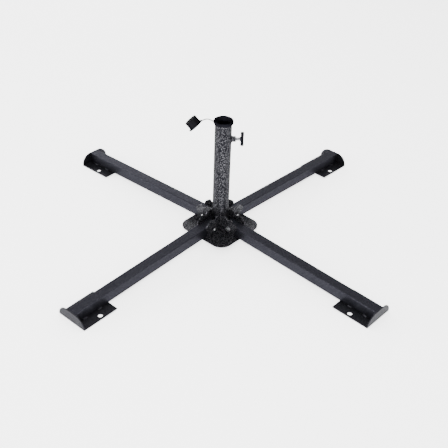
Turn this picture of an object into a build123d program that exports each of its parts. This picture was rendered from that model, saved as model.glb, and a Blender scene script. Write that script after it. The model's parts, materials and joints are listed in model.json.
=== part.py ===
from build123d import *
import os
from math import cos, radians, sin, sqrt, tan

# Folding cross base for a parasol: four square-tube legs fold up about pivot bolts in a hub of
# bent sheet brackets; an upright tube takes the parasol pole, with a clamp screw and a tethered cap.
# Millimetres. +Z is up, the origin is on the ground under the tube's axis, legs lie along X and Y.
# "Front" is the side towards +X -Y. A heading is an angle about Z, from +X towards +Y.

# Overall layout
LEG_REACH = 594.0          # tube axis to the outer face of a foot
LEG_TILT = 2.43            # slope of a leg, down from hub to foot, degrees
LEG_HEADINGS = {"front_left": -90, "front_right": 0, "rear_right": 90, "rear_left": 180}
BOLT_HEADINGS = {"front_left": 180, "front_right": -90, "rear_right": 180, "rear_left": 90}
QUADRANT_HEADINGS = {"front": -45, "right": 45, "rear": 135, "left": 225}
CLAMP_HEADING = 45
TETHER_HEADING = 225

# Legs and feet
LEG_SIZE = 33.5
LEG_WALL = 1.5
LEG_CORNER = 2.5
FOOT_SHEET = 3.0
FOOT_LENGTH = 120.0
FOOT_WIDTH = 103.0
FOOT_WALL_HEIGHT = 37.0
FOOT_SHOULDER = 34.0       # radius of the end wall's round shoulders
FOOT_BEND = 3.5            # outer radius of the bend under the end wall
FOOT_HOLE = 14.0
FOOT_HOLE_INSET = 69.0     # foot's outer face to the holes
FOOT_HOLE_SIDE = 39.0      # leg's middle to the holes
SOLE_Z = FOOT_BEND * (1 - sin(radians(LEG_TILT)) - cos(radians(LEG_TILT)))

# Hub plate and upright tube
HUB_TOP = 24.0
HUB_SHEET = 3.0
HUB_SIZE = 187.0
HUB_CORNER = 37.0
TUBE_RADIUS = 25.0
TUBE_WALL = 1.5
TUBE_TOP = 388.0

# Brackets: one angle per quadrant, its bend beside the upright tube, one wing along each leg
WING_SHEET = 2.5
WING_INNER = 17.7          # leg's middle plane to the wing's near face
WING_OUTER = WING_INNER + WING_SHEET
WING_ROOT_TOP = 84.0
WING_ROOT_REACH = 41.0     # tube's axis to the notch between the wing's root and its ear
WING_BEND = 3.5
EAR_CENTRE = (67.5, 57.0)
EAR_RADIUS = 15.0
EAR_SLOPE = 38.0           # fall of the ear's top edge, degrees
EAR_PEAK_RADIUS = 58.5
EAR_PEAK_ROUND = 5.5
NOTCH_DEPTH = 10.5
WING_ROOT_ROUND = 3.5
NECK_CENTRE = (87.5, 37.5)
TAB_LENGTH = 18.0
TAB_REACH = 33.0
RIVET_PLACE = (75.0, 26.5)

# Pivot bolts, M8: hexagon head over a washer on one wing, a nut on the other
PIVOT_RADIUS = 52.0
PIVOT_Z = 44.0
BOLT_RADIUS = 4.0
LEG_HOLE_RADIUS = 4.3
WING_HOLE_RADIUS = 4.1
HEX_FLATS = 13.0           # head and nut
HEAD_HEIGHT = 5.3
WASHER_RADIUS = 8.0
WASHER_BORE = 4.2
WASHER_SHEET = 1.6
NUT_HEIGHT = 5.5
HEX_CHAMFER = 0.6
BOLT_POINT = 1.8           # thread standing out of the nut

# Bracket rivets
RIVET_RADIUS = 2.0
RIVET_HEAD = 3.2
RIVET_DOME = 1.5

# Clamp screw, M10
CLAMP_Z = 330.0
SCREW_RADIUS = 5.0
SCREW_TIP = 24.5           # tube's axis to the screw's point, screw slackened
SCREW_END = 55.0
SCREW_POINT = 1.5
NUT_BORE = 5.08
CLAMP_NUT_FLATS = 17.0
CLAMP_NUT_FACE = 37.0
HANDLE_AXIS = 56.0         # tube's axis to the middle of the cross bar
HANDLE_LENGTH = 45.0
HANDLE_RADIUS = 5.0
HANDLE_WAIST = 4.4
HANDLE_HUB_RADIUS = 6.6
HANDLE_HUB_FACE = 49.0
HANDLE_BORE = 5.08

# Collar: a plastic ring over the tube's rim with a sleeve for a 38 mm pole
COLLAR_RADIUS = 29.0
COLLAR_BOTTOM = 383.0
COLLAR_TOP = 392.0
COLLAR_GRIP = 25.1
MOUTH_RADIUS = 24.5
FUNNEL_BOTTOM = 380.0      # height where the funnel mouth meets the sleeve's bore
SLEEVE_OUTER = 23.4
SLEEVE_BORE = 19.75
SLEEVE_BOTTOM = 348.0
LUG_REACH = 31.4
LUG_WIDTH = 5.2

# Cap, hanging open on its tether, and the tether
CAP_HEADING = 205.6        # direction in which the cap's open end leans
CAP_LEAN = 44.0            # cap's axis above the horizontal, degrees
CAP_FLANGE_RADIUS = 24.0
CAP_FLANGE = 3.0
CAP_CROWN = 1.2
CAP_PLUG_RADIUS = 18.9
CAP_PLUG_WALL = 2.0
CAP_DEPTH = 25.5
CAP_LUG = 0.9
LUG_SHEET = 1.2
TETHER_BENDS = (32.0, 63.0)    # tube's axis to the bending lines at the collar and the cap
TETHER_BEND_Z = 389.0
TETHER_TOP_Z = 396.0
TETHER_WIDTH = 4.0
TETHER_SHEET = 1.6
TETHER_GAP = 0.6           # from each end of the tether to its bending line


def heading_vector(heading):
    return Vector(cos(radians(heading)), sin(radians(heading)), 0)


def upright_plane(heading, origin=(0, 0, 0)):
    """A vertical plane: its x runs outward along the heading, its y straight up."""
    out = heading_vector(heading)
    return Plane(origin=origin, x_dir=out, z_dir=out.cross(Vector(0, 0, 1)))


def save(part, name):
    part.label = name
    export_step(part, f"parts/{name}.step")


def leg_frame(heading):
    """A leg's own frame: x outward along it, y across it, z up from the foot's sole."""
    tilt = radians(LEG_TILT)
    out = heading_vector(heading)
    up = Vector(0, 0, 1)
    return Plane(
        origin=out * LEG_REACH + up * SOLE_Z,
        x_dir=out * cos(tilt) - up * sin(tilt),
        z_dir=out * sin(tilt) + up * cos(tilt),
    )


def leg_side(heading):
    """The leg's middle plane: x outward along it, y up from the sole."""
    frame = leg_frame(heading)
    return Plane(origin=frame.origin, x_dir=frame.x_dir, z_dir=frame.y_dir * -1)


def make_leg(name, heading):
    frame = leg_frame(heading)
    side = leg_side(heading)
    pivot = side.to_local_coords(heading_vector(heading) * PIVOT_RADIUS + Vector(0, 0, PIVOT_Z))
    swing = pivot.Y - FOOT_SHEET
    tube_end = Plane(
        origin=frame.from_local_coords((pivot.X - swing, 0, FOOT_SHEET + LEG_SIZE / 2)),
        x_dir=frame.y_dir,
        z_dir=frame.x_dir,
    )
    with BuildPart() as leg:
        with BuildSketch(tube_end):
            RectangleRounded(LEG_SIZE, LEG_SIZE, LEG_CORNER)
            inner = LEG_SIZE - 2 * LEG_WALL
            RectangleRounded(inner, inner, LEG_CORNER - LEG_WALL, mode=Mode.SUBTRACT)
        extrude(amount=-FOOT_SHEET - (pivot.X - swing))
        # the lower inner corner is rounded about the pivot, so that it clears the hub plate
        with BuildSketch(side):
            with Locations((pivot.X, pivot.Y)):
                Rectangle(2 * swing, 2 * swing, align=(Align.MAX, Align.MAX))
                Circle(swing, mode=Mode.SUBTRACT)
        extrude(amount=LEG_SIZE, both=True, mode=Mode.SUBTRACT)
        with BuildSketch(side):
            with Locations((pivot.X, pivot.Y)):
                Circle(LEG_HOLE_RADIUS)
        extrude(amount=LEG_SIZE, both=True, mode=Mode.SUBTRACT)
    save(leg.part, name)


def make_foot(name, heading):
    frame = leg_frame(heading)
    end_wall = Plane(
        origin=frame.from_local_coords((-FOOT_SHEET, 0, 0)), x_dir=frame.y_dir, z_dir=frame.x_dir
    )
    with BuildPart() as foot:
        with BuildSketch(frame):
            Rectangle(FOOT_LENGTH, FOOT_WIDTH, align=(Align.MAX, Align.CENTER))
            with Locations((-FOOT_HOLE_INSET, 0)):
                with GridLocations(1, 2 * FOOT_HOLE_SIDE, 1, 2):
                    Circle(FOOT_HOLE / 2, mode=Mode.SUBTRACT)
        extrude(amount=FOOT_SHEET)
        with BuildSketch(end_wall):
            Rectangle(FOOT_WIDTH, FOOT_WALL_HEIGHT, align=(Align.CENTER, Align.MIN))
            fillet(vertices().group_by(Axis.Y)[-1], FOOT_SHOULDER)
        extrude(amount=FOOT_SHEET)
        fillet(foot.edges().sort_by_distance(frame.origin)[0], FOOT_BEND)
    save(foot.part, name)


def make_hub_plate():
    with BuildPart() as plate:
        with BuildSketch(Plane.XY.offset(HUB_TOP - HUB_SHEET)):
            RectangleRounded(HUB_SIZE, HUB_SIZE, HUB_CORNER)
            with Locations(*rivet_places()):
                Circle(RIVET_RADIUS, mode=Mode.SUBTRACT)
        extrude(amount=HUB_SHEET)
    save(plate.part, "hub_plate")


def rivet_places():
    along, across = RIVET_PLACE
    pairs = ((along, across), (across, along))
    return [(a * sx, b * sy) for sx in (1, -1) for sy in (1, -1) for a, b in pairs]


def make_bracket(name, heading):
    """An angle of bent sheet: the second wing is the first one mirrored about the quadrant's middle."""
    along = heading_vector(heading - 45)
    across = heading_vector(heading + 45)
    up = Vector(0, 0, 1)
    wing_plane = Plane(origin=across * WING_INNER, x_dir=along, z_dir=along.cross(up))
    tab_plane = Plane(origin=up * HUB_TOP, x_dir=along, z_dir=up)
    neck_radius = sqrt(
        (NECK_CENTRE[0] - EAR_CENTRE[0]) ** 2 + (NECK_CENTRE[1] - EAR_CENTRE[1]) ** 2
    ) - EAR_RADIUS
    fall = radians(EAR_SLOPE)
    ear_top = (EAR_CENTRE[0] + EAR_RADIUS * sin(fall), EAR_CENTRE[1] + EAR_RADIUS * cos(fall))
    ear_peak = (EAR_PEAK_RADIUS, ear_top[1] + (ear_top[0] - EAR_PEAK_RADIUS) * tan(fall))
    ear_tip = (EAR_CENTRE[0] + EAR_RADIUS, EAR_CENTRE[1])
    share = EAR_RADIUS / (EAR_RADIUS + neck_radius)
    ear_foot = tuple(e + (n - e) * share for e, n in zip(EAR_CENTRE, NECK_CENTRE))
    neck = (NECK_CENTRE[0] - neck_radius, NECK_CENTRE[1])
    flare = (NECK_CENTRE[0], NECK_CENTRE[1] - neck_radius)
    root_corner = (WING_ROOT_REACH, WING_ROOT_TOP)
    notch = ((WING_ROOT_REACH + EAR_PEAK_RADIUS) / 2, WING_ROOT_TOP - NOTCH_DEPTH)
    with BuildPart() as bracket:
        with BuildSketch(wing_plane):
            with BuildLine():
                Polyline((WING_INNER, WING_ROOT_TOP), (WING_INNER, HUB_TOP), (flare[0], HUB_TOP), flare)
                ThreePointArc(flare, neck, ear_foot)
                ThreePointArc(ear_foot, ear_tip, ear_top)
                Line(ear_top, ear_peak)
                ThreePointArc(ear_peak, notch, root_corner)
                Line(root_corner, (WING_INNER, WING_ROOT_TOP))
            make_face()
            fillet(vertices().sort_by_distance(ear_peak)[0], EAR_PEAK_ROUND)
            fillet(vertices().sort_by_distance(root_corner)[0], WING_ROOT_ROUND)
            with Locations((PIVOT_RADIUS, PIVOT_Z)):
                Circle(WING_HOLE_RADIUS, mode=Mode.SUBTRACT)
        extrude(amount=-WING_SHEET)
        with BuildSketch(tab_plane):
            with Locations((RIVET_PLACE[0], WING_INNER)):
                Rectangle(TAB_LENGTH, TAB_REACH - WING_INNER, align=(Align.CENTER, Align.MIN))
            fillet(vertices().group_by(Axis.Y)[-1], TAB_LENGTH / 3)
            with Locations(RIVET_PLACE):
                Circle(RIVET_RADIUS, mode=Mode.SUBTRACT)
        extrude(amount=WING_SHEET)
        mirror(about=Plane(origin=(0, 0, 0), z_dir=along - across))
        bends = bracket.edges().filter_by(Axis.Z).sort_by_distance((0, 0, HUB_TOP))
        fillet(bends[0], WING_BEND)
        bends = bracket.edges().filter_by(Axis.Z).sort_by_distance(
            (along + across) * WING_OUTER + up * (HUB_TOP + WING_ROOT_TOP) / 2
        )
        fillet(bends[0], WING_BEND - WING_SHEET)
    save(bracket.part, name)


def make_rivets():
    """Eight domed rivets through the bracket tabs and the hub plate."""
    with BuildPart() as rivets:
        for place in rivet_places():
            with BuildSketch(Plane.XZ.offset(-place[1])):
                with BuildLine():
                    x = place[0]
                    tab_top = HUB_TOP + WING_SHEET
                    plate_bottom = HUB_TOP - HUB_SHEET
                    ThreePointArc(
                        (x, tab_top + RIVET_DOME),
                        (x + RIVET_HEAD * 0.72, tab_top + RIVET_DOME * 0.7),
                        (x + RIVET_HEAD, tab_top),
                    )
                    Polyline(
                        (x + RIVET_HEAD, tab_top),
                        (x + RIVET_RADIUS, tab_top),
                        (x + RIVET_RADIUS, plate_bottom),
                        (x + RIVET_HEAD * 0.9, plate_bottom),
                        (x + RIVET_HEAD * 0.7, plate_bottom - RIVET_DOME),
                        (x, plate_bottom - RIVET_DOME),
                        (x, tab_top + RIVET_DOME),
                    )
                make_face()
            revolve(axis=Axis((x, place[1], 0), (0, 0, 1)))
    save(rivets.part, "bracket_rivets")


def pivot_stack(corner):
    """The bolt's frame at a leg's pivot: z along the bolt towards its head."""
    pivot = heading_vector(LEG_HEADINGS[corner]) * PIVOT_RADIUS + Vector(0, 0, PIVOT_Z)
    return Plane(origin=pivot, x_dir=(0, 0, 1), z_dir=heading_vector(BOLT_HEADINGS[corner]))


def make_pivot_bolt(corner):
    frame = pivot_stack(corner)
    along = Axis(frame.origin, frame.z_dir)
    point = WING_OUTER + NUT_HEIGHT + BOLT_POINT
    head_seat = WING_OUTER + WASHER_SHEET
    with BuildPart() as bolt:
        with BuildSketch(frame.offset(-point)):
            Circle(BOLT_RADIUS)
        extrude(amount=point + head_seat)
        chamfer(bolt.faces().sort_by(along)[0].edges(), 1.0)
        with BuildSketch(frame.offset(head_seat)):
            RegularPolygon(HEX_FLATS / 2, 6, major_radius=False)
        extrude(amount=HEAD_HEIGHT)
        chamfer(bolt.faces().sort_by(along)[-1].edges(), HEX_CHAMFER)
    save(bolt.part, f"pivot_bolt_{corner}")


def make_pivot_washer(corner):
    with BuildPart() as washer:
        with BuildSketch(pivot_stack(corner).offset(WING_OUTER)):
            Circle(WASHER_RADIUS)
            Circle(WASHER_BORE, mode=Mode.SUBTRACT)
        extrude(amount=WASHER_SHEET)
    save(washer.part, f"pivot_washer_{corner}")


def make_pivot_nut(corner):
    """A hexagon nut welded to the wing and painted with it."""
    frame = pivot_stack(corner)
    with BuildPart() as nut:
        with BuildSketch(frame.offset(-WING_OUTER)):
            RegularPolygon(HEX_FLATS / 2, 6, major_radius=False)
        extrude(amount=-NUT_HEIGHT)
        chamfer(nut.faces().sort_by(Axis(frame.origin, frame.z_dir))[0].edges(), HEX_CHAMFER)
        with BuildSketch(frame.offset(-WING_OUTER)):
            Circle(BOLT_RADIUS)
        extrude(amount=-NUT_HEIGHT, mode=Mode.SUBTRACT)
    save(nut.part, f"pivot_nut_{corner}")


def clamp_plane(distance):
    """A plane square to the clamp screw, at a distance from the tube's axis, x straight up."""
    out = heading_vector(CLAMP_HEADING)
    return Plane(origin=out * distance + Vector(0, 0, CLAMP_Z), x_dir=(0, 0, 1), z_dir=out)


def make_upright_tube():
    with BuildPart() as tube:
        with BuildSketch(Plane.XY.offset(HUB_TOP)):
            Circle(TUBE_RADIUS)
            Circle(TUBE_RADIUS - TUBE_WALL, mode=Mode.SUBTRACT)
        extrude(amount=TUBE_TOP - HUB_TOP)
        with BuildSketch(clamp_plane(0)):
            Circle(SCREW_RADIUS + 0.6)
        extrude(amount=2 * TUBE_RADIUS, mode=Mode.SUBTRACT)
    save(tube.part, "upright_tube")


def make_clamp_nut():
    """A hexagon nut, its seat hollowed to the tube's round, welded over the tube's side hole."""
    with BuildPart() as nut:
        with BuildSketch(clamp_plane(TUBE_RADIUS * 0.8)):
            RegularPolygon(CLAMP_NUT_FLATS / 2, 6, major_radius=False)
        extrude(amount=CLAMP_NUT_FACE - TUBE_RADIUS * 0.8)
        face = nut.faces().sort_by(Axis((0, 0, 0), heading_vector(CLAMP_HEADING)))[-1]
        chamfer(face.edges(), 0.9)
        with BuildSketch(Plane.XY.offset(CLAMP_Z - CLAMP_NUT_FLATS)):
            Circle(TUBE_RADIUS)
        extrude(amount=2 * CLAMP_NUT_FLATS, mode=Mode.SUBTRACT)
        with BuildSketch(clamp_plane(0)):
            Circle(NUT_BORE)
        extrude(amount=2 * CLAMP_NUT_FACE, mode=Mode.SUBTRACT)
    save(nut.part, "clamp_nut")


def make_clamp_screw():
    with BuildPart() as screw:
        with BuildSketch(clamp_plane(SCREW_TIP)):
            Circle(SCREW_RADIUS)
        extrude(amount=SCREW_END - SCREW_TIP)
        tip = screw.faces().sort_by(Axis((0, 0, 0), heading_vector(CLAMP_HEADING)))[0]
        chamfer(tip.edges(), SCREW_POINT)
    save(screw.part, "clamp_screw")


def make_clamp_handle():
    """A moulded T handle: a waisted cross bar on a short round hub."""
    half = HANDLE_LENGTH / 2
    out = heading_vector(CLAMP_HEADING)
    bar_centre = out * HANDLE_AXIS + Vector(0, 0, CLAMP_Z)
    with BuildPart() as handle:
        with BuildSketch(upright_plane(CLAMP_HEADING, bar_centre)):
            with BuildLine():
                ThreePointArc(
                    (HANDLE_RADIUS * 0.6, half),
                    (HANDLE_RADIUS * 0.9, half - HANDLE_RADIUS * 0.2),
                    (HANDLE_RADIUS, half - HANDLE_RADIUS * 0.6),
                )
                ThreePointArc(
                    (HANDLE_RADIUS, half - HANDLE_RADIUS * 0.6),
                    (HANDLE_WAIST, 0),
                    (HANDLE_RADIUS, HANDLE_RADIUS * 0.6 - half),
                )
                ThreePointArc(
                    (HANDLE_RADIUS, HANDLE_RADIUS * 0.6 - half),
                    (HANDLE_RADIUS * 0.9, HANDLE_RADIUS * 0.2 - half),
                    (HANDLE_RADIUS * 0.6, -half),
                )
                Polyline((HANDLE_RADIUS * 0.6, -half), (0, -half), (0, half), (HANDLE_RADIUS * 0.6, half))
            make_face()
        revolve(axis=Axis(bar_centre, (0, 0, 1)))
        with BuildSketch(clamp_plane(HANDLE_HUB_FACE)):
            Circle(HANDLE_HUB_RADIUS)
        extrude(amount=HANDLE_AXIS - HANDLE_HUB_FACE, taper=4)
        with BuildSketch(clamp_plane(HANDLE_HUB_FACE)):
            Circle(HANDLE_BORE)
        extrude(amount=SCREW_END + 0.3 - HANDLE_HUB_FACE, mode=Mode.SUBTRACT)
    save(handle.part, "clamp_handle")


def make_collar():
    """Ring over the tube's rim, funnel mouth, sleeve down inside the tube, and the tether's lug."""
    tether_plane = upright_plane(TETHER_HEADING)
    with BuildPart() as collar:
        with BuildSketch(Plane.XZ):
            with BuildLine():
                Polyline(
                    (COLLAR_RADIUS - 0.8, COLLAR_BOTTOM),
                    (COLLAR_RADIUS, COLLAR_BOTTOM + 1.0),
                    (COLLAR_RADIUS, COLLAR_TOP - 2.5),
                )
                ThreePointArc(
                    (COLLAR_RADIUS, COLLAR_TOP - 2.5),
                    (COLLAR_RADIUS - 0.73, COLLAR_TOP - 0.73),
                    (COLLAR_RADIUS - 2.5, COLLAR_TOP),
                )
                Polyline(
                    (COLLAR_RADIUS - 2.5, COLLAR_TOP),
                    (MOUTH_RADIUS, COLLAR_TOP),
                    (SLEEVE_BORE, FUNNEL_BOTTOM),
                    (SLEEVE_BORE, SLEEVE_BOTTOM),
                    (SLEEVE_OUTER, SLEEVE_BOTTOM),
                    (SLEEVE_OUTER, TUBE_TOP),
                    (COLLAR_GRIP, TUBE_TOP),
                    (COLLAR_GRIP, COLLAR_BOTTOM),
                    (COLLAR_RADIUS - 0.8, COLLAR_BOTTOM),
                )
            make_face()
        revolve(axis=Axis.Z)
        with BuildSketch(tether_plane):
            with Locations((COLLAR_RADIUS - 1.0, TETHER_BEND_Z)):
                Rectangle(LUG_REACH - COLLAR_RADIUS + 1.0, TETHER_SHEET, align=(Align.MIN, Align.CENTER))
        extrude(amount=LUG_WIDTH / 2, both=True)
    save(collar.part, "tube_collar")


def cap_frame():
    """The cap's frame: origin at the flange's outer face, z to the open end, x to the tether."""
    lean = radians(CAP_LEAN)
    out = heading_vector(CAP_HEADING)
    up = Vector(0, 0, 1)
    axis = out * cos(lean) + up * sin(lean)
    to_tether = up * cos(lean) - out * sin(lean)
    bend = heading_vector(TETHER_HEADING) * TETHER_BENDS[1] + up * TETHER_BEND_Z
    lug_end = CAP_FLANGE_RADIUS + CAP_LUG
    origin = bend - to_tether * (lug_end + TETHER_GAP) - axis * CAP_FLANGE / 2
    return Plane(origin=origin, x_dir=to_tether, z_dir=axis)


def make_cap():
    """A plug with a flange, hollow and open at the plug's end."""
    frame = cap_frame()
    section = Plane(origin=frame.origin, x_dir=frame.x_dir, z_dir=frame.y_dir * -1)
    bore = CAP_PLUG_RADIUS - CAP_PLUG_WALL
    with BuildPart() as cap:
        with BuildSketch(section):
            with BuildLine():
                ThreePointArc((0, -CAP_CROWN), (14, -CAP_CROWN * 0.65), (CAP_FLANGE_RADIUS - 1, 0))
                Polyline(
                    (CAP_FLANGE_RADIUS - 1, 0),
                    (CAP_FLANGE_RADIUS, 0.8),
                    (CAP_FLANGE_RADIUS, CAP_FLANGE - 0.4),
                    (CAP_FLANGE_RADIUS - 0.4, CAP_FLANGE),
                    (CAP_PLUG_RADIUS, CAP_FLANGE),
                    (CAP_PLUG_RADIUS, CAP_DEPTH - 1.2),
                    (CAP_PLUG_RADIUS - 0.8, CAP_DEPTH),
                    (bore, CAP_DEPTH),
                    (bore, CAP_FLANGE - 0.4),
                    (0, CAP_FLANGE - 0.4),
                    (0, -CAP_CROWN),
                )
            make_face()
        revolve(axis=Axis(frame.origin, frame.z_dir))
        with BuildSketch(frame.offset((CAP_FLANGE - LUG_SHEET) / 2)):
            with Locations((CAP_FLANGE_RADIUS - 1, 0)):
                Rectangle(1 + CAP_LUG, TETHER_WIDTH, align=(Align.MIN, Align.CENTER))
        extrude(amount=LUG_SHEET)
    save(cap.part, "socket_cap")


def make_tether():
    """A moulded strap from the collar's lug to the cap's flange, arched a little."""
    start = (TETHER_BENDS[0] + TETHER_GAP, TETHER_BEND_Z - TETHER_SHEET / 2)
    end = (TETHER_BENDS[1] - TETHER_GAP, TETHER_BEND_Z - TETHER_SHEET / 2)
    crown = ((start[0] + end[0]) / 2, TETHER_TOP_Z - TETHER_SHEET)
    with BuildPart() as tether:
        with BuildSketch(upright_plane(TETHER_HEADING)):
            with BuildLine():
                ThreePointArc(start, crown, end)
                Line(end, (end[0], end[1] + TETHER_SHEET))
                ThreePointArc(
                    (end[0], end[1] + TETHER_SHEET),
                    (crown[0], TETHER_TOP_Z),
                    (start[0], start[1] + TETHER_SHEET),
                )
                Line((start[0], start[1] + TETHER_SHEET), start)
            make_face()
        extrude(amount=TETHER_WIDTH / 2, both=True)
    save(tether.part, "cap_tether")


def main():
    os.makedirs("parts", exist_ok=True)
    make_hub_plate()
    make_upright_tube()
    make_rivets()
    for corner, heading in QUADRANT_HEADINGS.items():
        make_bracket(f"hub_bracket_{corner}", heading)
    for corner, heading in LEG_HEADINGS.items():
        make_leg(f"leg_{corner}", heading)
        make_foot(f"foot_{corner}", heading)
        make_pivot_bolt(corner)
        make_pivot_washer(corner)
        make_pivot_nut(corner)
    make_clamp_nut()
    make_clamp_screw()
    make_clamp_handle()
    make_collar()
    make_cap()
    make_tether()


main()
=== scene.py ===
import json
from math import ceil, cos, pi, radians, sin, sqrt, tan, tau

import bmesh
import bpy
from mathutils import Matrix, Vector


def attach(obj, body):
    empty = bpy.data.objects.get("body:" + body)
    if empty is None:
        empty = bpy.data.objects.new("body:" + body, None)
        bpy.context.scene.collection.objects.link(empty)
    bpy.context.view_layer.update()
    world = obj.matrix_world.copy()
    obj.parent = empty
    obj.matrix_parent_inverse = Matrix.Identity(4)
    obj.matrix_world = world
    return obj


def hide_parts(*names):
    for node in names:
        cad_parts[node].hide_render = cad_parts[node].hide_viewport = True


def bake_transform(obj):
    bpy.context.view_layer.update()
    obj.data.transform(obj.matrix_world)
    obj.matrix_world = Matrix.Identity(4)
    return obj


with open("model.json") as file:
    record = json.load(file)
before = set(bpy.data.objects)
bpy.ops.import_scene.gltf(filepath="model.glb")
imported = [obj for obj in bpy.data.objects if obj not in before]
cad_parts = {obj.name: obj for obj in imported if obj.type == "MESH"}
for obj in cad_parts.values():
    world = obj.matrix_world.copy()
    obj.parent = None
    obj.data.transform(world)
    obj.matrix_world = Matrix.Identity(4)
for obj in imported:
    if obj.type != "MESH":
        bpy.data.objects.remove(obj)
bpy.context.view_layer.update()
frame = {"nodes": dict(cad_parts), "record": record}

MM = 0.001
UP = Vector((0, 0, 1))
RECORD = frame["record"]
MOUNTS = {mount["name"]: mount for mount in RECORD["mounts"]}
JOINTS = {joint["name"]: joint for joint in RECORD["behaviour"]["joints"]}
CORNERS = ("front_left", "front_right", "rear_right", "rear_left")
BOLT_HEADINGS = {"front_left": 180, "front_right": -90, "rear_right": 180, "rear_left": 90}

# Sizes that the solids share, in metres
TUBE_RADIUS = 25 * MM
HUB_TOP = 24 * MM
LEG_HALF = 16.75 * MM
FOOT_SHEET = 3 * MM
WING_OUTER = 20.2 * MM
WING_ROOT_TOP = 84 * MM
HEX_FLATS = 13 * MM
BOLT_RADIUS = 4 * MM
HEAD_HEIGHT = 5.3 * MM
WASHER_SHEET = 1.6 * MM
NUT_HEIGHT = 5.5 * MM
BOLT_POINT = 1.8 * MM
CLAMP_Z = 330 * MM
CLAMP_HEADING = radians(45)
SCREW_TIP = 24.5 * MM
SCREW_END = 55 * MM
SCREW_RADIUS = 5 * MM
SCREW_POINT_RADIUS = 3.4 * MM
TETHER_HEADING = radians(225)
TETHER_BEND_Z = 389 * MM
TETHER_TOP_Z = 396 * MM
TETHER_SHEET = 1.6 * MM
TETHER_WIDTH = 4 * MM
TETHER_BENDS = (32 * MM, 63 * MM)


# ---------------------------------------------------------------- node trees

def new_material(name):
    material = bpy.data.materials.new(name)
    material.use_nodes = True
    tree = material.node_tree
    tree.nodes.clear()
    shader = tree.nodes.new("ShaderNodeBsdfPrincipled")
    output = tree.nodes.new("ShaderNodeOutputMaterial")
    tree.links.new(shader.outputs["BSDF"], output.inputs["Surface"])
    return material, tree, shader


def object_coords(tree):
    return tree.nodes.new("ShaderNodeTexCoord").outputs["Object"]


def noise(tree, coords, scale, detail=3.0, roughness=0.55, distortion=0.0):
    node = tree.nodes.new("ShaderNodeTexNoise")
    node.inputs["Scale"].default_value = scale
    node.inputs["Detail"].default_value = detail
    node.inputs["Roughness"].default_value = roughness
    node.inputs["Distortion"].default_value = distortion
    tree.links.new(coords, node.inputs["Vector"])
    return node.outputs["Fac"]


def voronoi(tree, coords, scale, smoothness=0.4):
    node = tree.nodes.new("ShaderNodeTexVoronoi")
    node.feature = "SMOOTH_F1"
    node.inputs["Scale"].default_value = scale
    node.inputs["Smoothness"].default_value = smoothness
    tree.links.new(coords, node.inputs["Vector"])
    return node.outputs["Distance"]


def warped(tree, coords, scale, amount):
    """Coordinates pushed about by a noise field, so that a cell pattern loses its regular look."""
    field = tree.nodes.new("ShaderNodeTexNoise")
    field.inputs["Scale"].default_value = scale
    field.inputs["Detail"].default_value = 2.0
    tree.links.new(coords, field.inputs["Vector"])
    push = tree.nodes.new("ShaderNodeVectorMath")
    push.operation = "MULTIPLY_ADD"
    push.inputs[1].default_value = (amount, amount, amount)
    tree.links.new(field.outputs["Color"], push.inputs[0])
    tree.links.new(coords, push.inputs[2])
    return push.outputs["Vector"]


def math_node(tree, operation, first, second):
    node = tree.nodes.new("ShaderNodeMath")
    node.operation = operation
    for socket, value in zip(node.inputs, (first, second)):
        if isinstance(value, (int, float)):
            socket.default_value = value
        else:
            tree.links.new(value, socket)
    return node.outputs["Value"]


def ramp(tree, value, stops):
    """A colour ramp. stops are (position, grey level or colour)."""
    node = tree.nodes.new("ShaderNodeValToRGB")
    elements = node.color_ramp.elements
    while len(elements) < len(stops):
        elements.new(0.5)
    for element, (position, colour) in zip(elements, stops):
        element.position = position
        shade = (colour, colour, colour) if isinstance(colour, (int, float)) else colour
        element.color = (*shade, 1.0)
    tree.links.new(value, node.inputs["Fac"])
    return node.outputs["Color"]


def bump(tree, shader, height, strength, distance):
    node = tree.nodes.new("ShaderNodeBump")
    node.inputs["Strength"].default_value = strength
    node.inputs["Distance"].default_value = distance
    tree.links.new(height, node.inputs["Height"])
    tree.links.new(node.outputs["Normal"], shader.inputs["Normal"])


def hammertone(name, dark, light, scale, balance, spread, rough, edge, metallic=1.0, relief=0.25 * MM):
    """Hammered paint: pale metallic islands on a dark ground, with a soft relief."""
    material, tree, shader = new_material(name)
    coords = warped(tree, object_coords(tree), scale * 0.7, 0.7 / scale)
    cells = voronoi(tree, coords, scale)
    fine = noise(tree, coords, scale * 2.3, 4.0, 0.6)
    mixed = math_node(tree, "ADD", math_node(tree, "MULTIPLY", cells, 0.75),
                      math_node(tree, "MULTIPLY", fine, 0.5))
    colour = ramp(tree, mixed, ((balance - spread, light), (balance + spread, dark)))
    tree.links.new(colour, shader.inputs["Base Color"])
    roughness = ramp(tree, mixed, ((balance - spread, rough[0]), (balance + spread, rough[1])))
    tree.links.new(roughness, shader.inputs["Roughness"])
    shader.inputs["Metallic"].default_value = metallic
    shader.inputs["Specular IOR Level"].default_value = 0.1
    shader.inputs["Specular Tint"].default_value = (edge, edge, edge, 1)
    bump(tree, shader, mixed, 0.55, relief)
    return material


def plated(name, colour, rough=(0.22, 0.36)):
    """Bright zinc plate: faint cloudy tone, fine turning marks in the roughness."""
    material, tree, shader = new_material(name)
    coords = object_coords(tree)
    cloud = noise(tree, coords, 260, 3.0)
    tint = ramp(tree, cloud, ((0.3, tuple(c * 0.82 for c in colour)), (0.7, colour)))
    tree.links.new(tint, shader.inputs["Base Color"])
    grain = noise(tree, coords, 1900, 2.0)
    tree.links.new(ramp(tree, grain, ((0.3, rough[0]), (0.7, rough[1]))), shader.inputs["Roughness"])
    shader.inputs["Metallic"].default_value = 1.0
    bump(tree, shader, grain, 0.15, 0.03 * MM)
    return material


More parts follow.
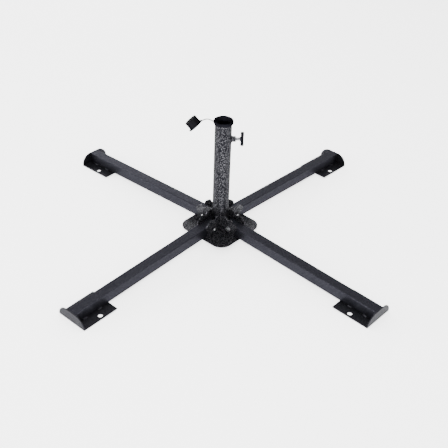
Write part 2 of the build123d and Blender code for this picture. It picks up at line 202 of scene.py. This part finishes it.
def moulded(name, colour, rough, grain_scale, relief, edge):
    """Black moulded plastic: a fine even grain, slow changes of gloss, and a sheen held down at the edges."""
    material, tree, shader = new_material(name)
    coords = object_coords(tree)
    cloud = noise(tree, coords, 45, 2.0)
    tint = ramp(tree, cloud, ((0.3, tuple(c * 0.75 for c in colour)), (0.75, tuple(c * 1.3 for c in colour))))
    tree.links.new(tint, shader.inputs["Base Color"])
    tree.links.new(ramp(tree, cloud, ((0.3, rough[0]), (0.7, rough[1]))), shader.inputs["Roughness"])
    shader.inputs["Metallic"].default_value = 1.0
    shader.inputs["Specular Tint"].default_value = (edge, edge, edge, 1)
    bump(tree, shader, noise(tree, coords, grain_scale, 2.0), 0.3, relief)
    return material


MATERIALS = {
    "hammertone": hammertone("hammertone_paint", (0.006, 0.006, 0.008), (0.112, 0.112, 0.121), 330,
                             0.48, 0.12, (0.26, 0.42), 0.5, 0.8),
    "hub_paint": hammertone("hub_hammertone", (0.006, 0.006, 0.008), (0.140, 0.140, 0.150), 330, 0.48, 0.12,
                            (0.26, 0.42), 0.6, 0.7),
    "leg_paint": hammertone("leg_texture_paint", (0.013, 0.013, 0.017), (0.040, 0.040, 0.047), 460,
                            0.50, 0.10, (0.32, 0.44), 0.5, 0.9),
    # The foot paint is the leg's hammertone with lighter islands: the extra lightness is painted light for
    # the foot plates lit from above.
    "foot_paint": hammertone("foot_paint_lit_copy", (0.013, 0.013, 0.016), (0.048, 0.048, 0.054), 460,
                             0.50, 0.10, (0.32, 0.44), 0.65, 0.85),
    "zinc": plated("zinc_plate", (0.38, 0.385, 0.395)),
    "black_plastic": moulded("collar_plastic", (0.006, 0.006, 0.008), (0.38, 0.50), 2600, 0.04 * MM, 0.18),
    "gloss_cap": moulded("cap_plastic", (0.006, 0.006, 0.007), (0.12, 0.20), 1500, 0.02 * MM, 0.25),
}


# ---------------------------------------------------------------- carried-over solids

def dress_nodes():
    """Every solid gets its slot's material, and sheet metal gets a small round on its sharp edges."""
    slots = {part["node"]: part["material_slot"] for part in RECORD["subparts"]}
    rounded = {"hub_paint": 0.45 * MM, "foot_paint": 0.45 * MM, "leg_paint": 0.3 * MM}
    for name, obj in frame["nodes"].items():
        obj.data.materials.clear()
        obj.data.materials.append(MATERIALS[slots[name]])
        if slots[name] in rounded:
            weld = obj.modifiers.new("weld", "WELD")
            weld.merge_threshold = 0.002 * MM
            bevel = obj.modifiers.new("edge_round", "BEVEL")
            bevel.width = rounded[slots[name]]
            bevel.segments = 2
            bevel.limit_method = "ANGLE"
            bevel.angle_limit = radians(40)
            bevel.harden_normals = True


dress_nodes()


# ---------------------------------------------------------------- made pieces

SMOOTH_ANGLE = radians(35)


def finish_piece(name, verts, faces, slot_name, body, replaced=()):
    """Makes a mesh object, with sharp edges where its faces turn by more than the smooth angle."""
    mesh = bpy.data.meshes.new(name)
    mesh.from_pydata([tuple(v) for v in verts], [], faces)
    work = bmesh.new()
    work.from_mesh(mesh)
    bmesh.ops.recalc_face_normals(work, faces=work.faces)
    for edge in work.edges:
        if len(edge.link_faces) == 2:
            edge.smooth = edge.calc_face_angle() < SMOOTH_ANGLE
    for face in work.faces:
        face.smooth = True
    work.to_mesh(mesh)
    work.free()
    mesh.materials.append(MATERIALS[slot_name])
    obj = bpy.data.objects.new(name, mesh)
    bpy.context.collection.objects.link(obj)
    if body:
        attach(obj, body)
    if replaced:
        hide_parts(*replaced)
    return obj


def add_rings(verts, faces, rings, closed=False):
    """Skins a run of equal rings of points, with a fan of one polygon at each end or the last ring
    joined to the first."""
    count = len(rings[0])
    first = len(verts)
    for ring in rings:
        verts.extend(ring)
    spans = len(rings) if closed else len(rings) - 1
    for i in range(spans):
        low, high = first + i * count, first + ((i + 1) % len(rings)) * count
        for j in range(count):
            k = (j + 1) % count
            faces.append((low + j, low + k, high + k, high + j))
    if not closed:
        faces.append(tuple(first + j for j in reversed(range(count))))
        last = first + (len(rings) - 1) * count
        faces.append(tuple(last + j for j in range(count)))


def axis_frame(origin, axis):
    """A matrix whose local z runs along the axis, and whose local x is as near to up as it can be."""
    z = axis.normalized()
    x = (UP - z * UP.dot(z)).normalized()
    return Matrix.Translation(origin) @ Matrix((x, z.cross(x), z)).transposed().to_4x4()


SEGMENTS = 48
PITCH_M8, PITCH_M10 = 1.25 * MM, 1.5 * MM


def thread_rings(frame_matrix, start, end, major, pitch, depth=0.61, lead=1.0 * MM):
    """Rings of a helical thread as a height field round a rod. It runs out at the start."""
    rings = []
    steps = ceil((end - start) / pitch * 8)
    for i in range(steps + 1):
        z = start + (end - start) * i / steps
        room = min(z - start, lead) / lead
        ring = []
        for j in range(SEGMENTS):
            turn = (z / pitch - j / SEGMENTS) % 1.0
            groove = 1 - abs(2 * turn - 1)
            groove = min(max(groove * 1.25 - 0.12, 0.0), 1.0)
            radius = major - depth * pitch * max(groove, 1 - room) - (1 - room) * 0.2 * pitch
            a = tau * j / SEGMENTS
            ring.append(frame_matrix @ Vector((radius * cos(a), radius * sin(a), z)))
        rings.append(ring)
    return rings


def round_ring(frame_matrix, radius, z):
    return [frame_matrix @ Vector((radius * cos(tau * j / SEGMENTS), radius * sin(tau * j / SEGMENTS), z))
            for j in range(SEGMENTS)]


def hex_ring(frame_matrix, flats, z, cut=None, fall=0.0):
    """A hexagon's outline, or where a 30 degree cone cuts it: cut is the cone's radius at z."""
    ring = []
    for j in range(SEGMENTS):
        a = tau * j / SEGMENTS
        from_flat = (a + pi / 6) % (pi / 3) - pi / 6
        radius = flats / 2 / cos(from_flat)
        drop = 0.0 if cut is None else max(0.0, radius - cut) * tan(radians(30)) * fall
        ring.append(frame_matrix @ Vector((radius * cos(a), radius * sin(a), z - drop)))
    return ring


def make_pivot_hardware():
    """Hexagon bolts with a chamfered head, a plain shank and a threaded end, and chamfered nuts."""
    crown = HEX_FLATS / 2 * 0.96
    for corner in CORNERS:
        joint = JOINTS[f"fold_{corner}"]
        pivot = Vector(joint["pos_m"])
        heading = radians(BOLT_HEADINGS[corner])
        frame_matrix = axis_frame(pivot, Vector((cos(heading), sin(heading), 0)))
        seat = WING_OUTER + WASHER_SHEET
        point = WING_OUTER + NUT_HEIGHT + BOLT_POINT
        verts, faces = [], []
        rings = [round_ring(frame_matrix, BOLT_RADIUS * 0.7, -point)]
        rings += thread_rings(frame_matrix, -point + 0.05 * MM, -WING_OUTER + 1 * MM, BOLT_RADIUS, PITCH_M8)
        rings += [round_ring(frame_matrix, BOLT_RADIUS * 0.99, -WING_OUTER + 2 * MM),
                  round_ring(frame_matrix, BOLT_RADIUS * 0.99, seat),
                  hex_ring(frame_matrix, HEX_FLATS, seat),
                  hex_ring(frame_matrix, HEX_FLATS, seat + HEAD_HEIGHT, crown, 1.0),
                  round_ring(frame_matrix, crown, seat + HEAD_HEIGHT),
                  round_ring(frame_matrix, crown * 0.55, seat + HEAD_HEIGHT - 0.15 * MM)]
        add_rings(verts, faces, rings)
        finish_piece(f"pivot_bolt_mesh_{corner}", verts, faces, "zinc", "root", (f"pivot_bolt_{corner}",))
        verts, faces = [], []
        outer = -WING_OUTER - NUT_HEIGHT
        rings = [round_ring(frame_matrix, BOLT_RADIUS * 1.01, -WING_OUTER),
                 hex_ring(frame_matrix, HEX_FLATS, -WING_OUTER),
                 hex_ring(frame_matrix, HEX_FLATS, outer, crown, -1.0),
                 round_ring(frame_matrix, crown, outer),
                 round_ring(frame_matrix, BOLT_RADIUS * 1.2, outer),
                 round_ring(frame_matrix, BOLT_RADIUS * 1.01, outer + 0.6 * MM)]
        add_rings(verts, faces, rings, closed=True)
        finish_piece(f"pivot_nut_mesh_{corner}", verts, faces, "hub_paint", "root", (f"pivot_nut_{corner}",))


def make_clamp_screw():
    """The clamp screw's threaded rod, from its point inside the tube to the handle."""
    out = Vector((cos(CLAMP_HEADING), sin(CLAMP_HEADING), 0))
    frame_matrix = axis_frame(UP * CLAMP_Z, out)
    verts, faces = [], []
    rings = [round_ring(frame_matrix, SCREW_POINT_RADIUS, SCREW_TIP)]
    rings += thread_rings(frame_matrix, SCREW_TIP + 0.05 * MM, SCREW_END, SCREW_RADIUS, PITCH_M10,
                          lead=1.4 * MM)
    add_rings(verts, faces, rings)
    finish_piece("clamp_screw_mesh", verts, faces, "zinc", "clamp_screw", ("clamp_screw",))


def add_bead(verts, faces, path, normals, radius, ripple=2.1 * MM, sides=10, flat=0.8, closed=False):
    """A weld bead along a path of points: a rounded ridge with the overlapping scallops of a hand weld."""
    rings = []
    length = 0.0
    count = len(path)
    for i, (point, normal) in enumerate(zip(path, normals)):
        before = path[i - 1] if i or closed else path[0]
        after = path[(i + 1) % count] if i < count - 1 or closed else path[-1]
        along = (after - before).normalized()
        side = along.cross(normal).normalized()
        if i:
            length += (point - path[i - 1]).length
        scallop = (length / ripple) % 1.0
        swell = 0.86 + 0.16 * sqrt(max(0.0, 1 - (scallop * 1.15 - 0.15) ** 2))
        wander = 1 + 0.07 * sin(length / (5.3 * MM)) + 0.05 * sin(length / (2.9 * MM) + 1)
        taper = 1.0
        if not closed:
            near = min(i, count - 1 - i) / 3
            taper = sqrt(max(0.04, 1 - max(0.0, 1 - near) ** 2))
        r = radius * swell * wander * taper
        rings.append([point + side * (r * cos(tau * j / sides)) + normal * (r * flat * sin(tau * j / sides))
                      for j in range(sides)])
    add_rings(verts, faces, rings, closed=closed)


def straight_path(start, end, step=0.35 * MM):
    """Evenly spaced points from start to end."""
    steps = ceil((end - start).length / step)
    return [start.lerp(end, i / steps) for i in range(steps + 1)]


def make_hub_welds():
    """The fillet round the tube's foot, and the two runs that join each bracket's bend to the tube."""
    verts, faces = [], []
    steps = 420
    angles = [tau * i / steps for i in range(steps)]
    radius = TUBE_RADIUS + 0.5 * MM
    path = [Vector((radius * cos(a), radius * sin(a), HUB_TOP + 0.5 * MM)) for a in angles]
    normals = [Vector((cos(a), sin(a), 1)).normalized() for a in angles]
    add_bead(verts, faces, path, normals, 2.3 * MM, closed=True)
    for heading in (45, 135, 225, 315):
        for offset in (-8.5, 8.5):
            a = radians(heading + offset)
            out = Vector((cos(a), sin(a), 0))
            foot = out * (TUBE_RADIUS + 0.4 * MM)
            path = straight_path(foot + UP * (HUB_TOP + 1 * MM), foot + UP * (WING_ROOT_TOP - 1.6 * MM))
            add_bead(verts, faces, path, [out] * len(path), 1.75 * MM)
        middle = Vector((cos(radians(heading)), sin(radians(heading)), 0))
        side = UP.cross(middle)
        blob = [middle * (TUBE_RADIUS + 0.6 * MM) + side * x + UP * (WING_ROOT_TOP - 1.3 * MM - abs(x) * 0.2)
                for x in [(i - 8) * 0.55 * MM for i in range(17)]]
        add_bead(verts, faces, blob, [middle] * len(blob), 2.0 * MM, ripple=3.4 * MM)
    finish_piece("hub_weld_beads", verts, faces, "hub_paint", "root")


def make_clamp_nut_weld():
    """A bead round the clamp nut, laid on the tube's curved wall."""
    out = Vector((cos(CLAMP_HEADING), sin(CLAMP_HEADING), 0))
    side = UP.cross(out)
    steps = 190
    reach = 9.9 * MM
    path, normals = [], []
    for i in range(steps):
        a = tau * i / steps
        across = reach * cos(a)
        depth = sqrt((TUBE_RADIUS + 0.3 * MM) ** 2 - across ** 2)
        path.append(out * depth + side * across + UP * (CLAMP_Z + reach * sin(a)))
        normals.append((out * depth + side * across).normalized())
    verts, faces = [], []
    add_bead(verts, faces, path, normals, 1.5 * MM, closed=True)
    finish_piece("clamp_nut_weld_bead", verts, faces, "hammertone", "root")


def make_foot_welds():
    """Two short stitches on each side of a leg, where its tube stands on the foot plate."""
    for corner in CORNERS:
        mount = MOUNTS[f"anchor_holes_{corner}"]
        up = Vector(mount["axis"]).normalized()
        pivot = Vector(JOINTS[f"fold_{corner}"]["pos_m"])
        heading = Vector((pivot.x, pivot.y, 0)).normalized()
        out = (heading - up * heading.dot(up)).normalized()
        across = up.cross(out)
        middle = Vector(mount["pos_m"]) + up * FOOT_SHEET / 2
        verts, faces = [], []
        for side in (-1, 1):
            for offset in (-17 * MM, 35 * MM):
                base = middle + out * offset + across * side * (LEG_HALF + 0.8 * MM) + up * 0.6 * MM
                path = straight_path(base - out * 6.5 * MM, base + out * 6.5 * MM)
                normal = (up + across * side).normalized()
                add_bead(verts, faces, path, [normal] * len(path), 2.4 * MM)
        finish_piece(f"foot_weld_beads_{corner}", verts, faces, "foot_paint", f"leg_{corner}")


def make_tether():
    """The moulded strap in two halves, each running from one end of its arch to the middle."""
    out = Vector((cos(TETHER_HEADING), sin(TETHER_HEADING), 0))
    side = UP.cross(out)
    near, far = TETHER_BENDS
    middle = (near + far) / 2
    rise = TETHER_TOP_Z - TETHER_SHEET / 2 - TETHER_BEND_Z
    half = (far - near) / 2

    def height(x):
        return TETHER_BEND_Z + rise * max(0.0, 1 - ((x - middle) / half) ** 2)

    def strap(name, start, end, replaced=()):
        verts, faces, rings = [], [], []
        steps = 44
        for i in range(steps + 1):
            x = start + (end - start) * i / steps
            slope = height(x + 0.01 * MM) - height(x - 0.01 * MM)
            along = (out * 0.02 * MM + UP * slope).normalized()
            normal = side.cross(along) * -1
            waist = 1 - 0.18 * (1 - abs(x - middle) / half) if abs(x - middle) < half else 1.0
            w, t = TETHER_WIDTH * waist * 0.5, TETHER_SHEET * 0.5
            centre = out * x + UP * height(x)
            ring = []
            for j in range(16):
                a = tau * j / 16
                c, s = cos(a), sin(a)
                c, s = abs(c) ** 0.5 * (1 if c > 0 else -1), abs(s) ** 0.5 * (1 if s > 0 else -1)
                ring.append(centre + side * (w * c) + normal * (t * s))
            rings.append(ring)
        add_rings(verts, faces, rings)
        piece = finish_piece(name, verts, faces, "gloss_cap", None, replaced)
        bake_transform(piece)

    strap("tether_strap_collar_end", near - 1.6 * MM, middle + 0.2 * MM,
          ("cap_tether",))
    strap("tether_strap_cap_end", middle - 0.2 * MM, far + 0.9 * MM)


make_pivot_hardware()
make_clamp_screw()
make_hub_welds()
make_clamp_nut_weld()
make_foot_welds()
make_tether()


# ---------------------------------------------------------------- floor, light, camera

FLOOR_GLOW = 2.2
SKY_STRENGTH = 3.6
SKY = ((0.0, 1.0), (0.42, 1.0), (0.52, 0.75), (0.62, 0.36), (0.72, 0.12), (1.0, 0.04))


def make_floor():
    bpy.ops.mesh.primitive_plane_add(size=30, location=(0, 0, -0.0003))
    floor = bpy.context.object
    floor.name = "studio_floor"
    material = bpy.data.materials.new("studio_floor")
    material.use_nodes = True
    shader = material.node_tree.nodes["Principled BSDF"]
    shader.inputs["Base Color"].default_value = (0.95, 0.95, 0.95, 1)
    shader.inputs["Roughness"].default_value = 1.0
    shader.inputs["Specular IOR Level"].default_value = 0.0
    shader.inputs["Emission Color"].default_value = (1, 1, 1, 1)
    shader.inputs["Emission Strength"].default_value = FLOOR_GLOW
    floor.data.materials.append(material)


def area_light(name, heading, elevation, distance, size, power):
    """A soft box aimed at the hub from a heading and elevation, in degrees."""
    a, e = radians(heading), radians(elevation)
    place = Vector((cos(a) * cos(e), sin(a) * cos(e), sin(e))) * distance
    data = bpy.data.lights.new(name, "AREA")
    data.shape = "RECTANGLE"
    data.size, data.size_y = size
    data.energy = power
    light = bpy.data.objects.new(name, data)
    bpy.context.collection.objects.link(light)
    light.location = place
    light.rotation_mode = "QUATERNION"
    light.rotation_quaternion = (-place).to_track_quat("-Z", "Y")


def make_light():
    """A bright ring round the horizon and a darker dome above it, so that gloss shows the form."""
    world = bpy.data.worlds.new("studio")
    bpy.context.scene.world = world
    world.use_nodes = True
    tree = world.node_tree
    coords = tree.nodes.new("ShaderNodeTexCoord").outputs["Generated"]
    parts = tree.nodes.new("ShaderNodeSeparateXYZ")
    tree.links.new(coords, parts.inputs["Vector"])
    dome = ramp(tree, parts.outputs["Z"], SKY)
    tree.links.new(dome, tree.nodes["Background"].inputs["Color"])
    tree.nodes["Background"].inputs["Strength"].default_value = SKY_STRENGTH
    area_light("overhead", 130, 78, 3.2, (1.6, 1.6), 70)
    area_light("left_box", 220, 16, 3.0, (1.4, 1.0), 60)
    area_light("rear_box", 152, 24, 3.4, (2.4, 1.1), 45)
    area_light("key", -58, 52, 3.2, (0.9, 0.9), 100)


def make_camera():
    """The camera stands high at the front, turned a little clockwise about its own line of sight."""
    azimuth, elevation, roll = radians(40.97), radians(35.61), radians(2.23)
    distance, lens = 2.703, 69.4
    aim_right, aim_up = 0.0134, 0.0207
    back = Vector((sin(azimuth) * cos(elevation), -cos(azimuth) * cos(elevation), sin(elevation)))
    level = Vector((cos(azimuth), sin(azimuth), 0))
    over = back.cross(level)
    right = level * cos(roll) + over * sin(roll)
    up = over * cos(roll) - level * sin(roll)
    data = bpy.data.cameras.new("camera")
    data.lens = lens
    data.sensor_width = 36
    camera = bpy.data.objects.new("camera", data)
    bpy.context.collection.objects.link(camera)
    turn = Matrix((right, up, back)).transposed().to_4x4()
    camera.matrix_world = Matrix.Translation(back * distance + right * aim_right + up * aim_up) @ turn
    bpy.context.scene.camera = camera


make_floor()
make_light()
make_camera()
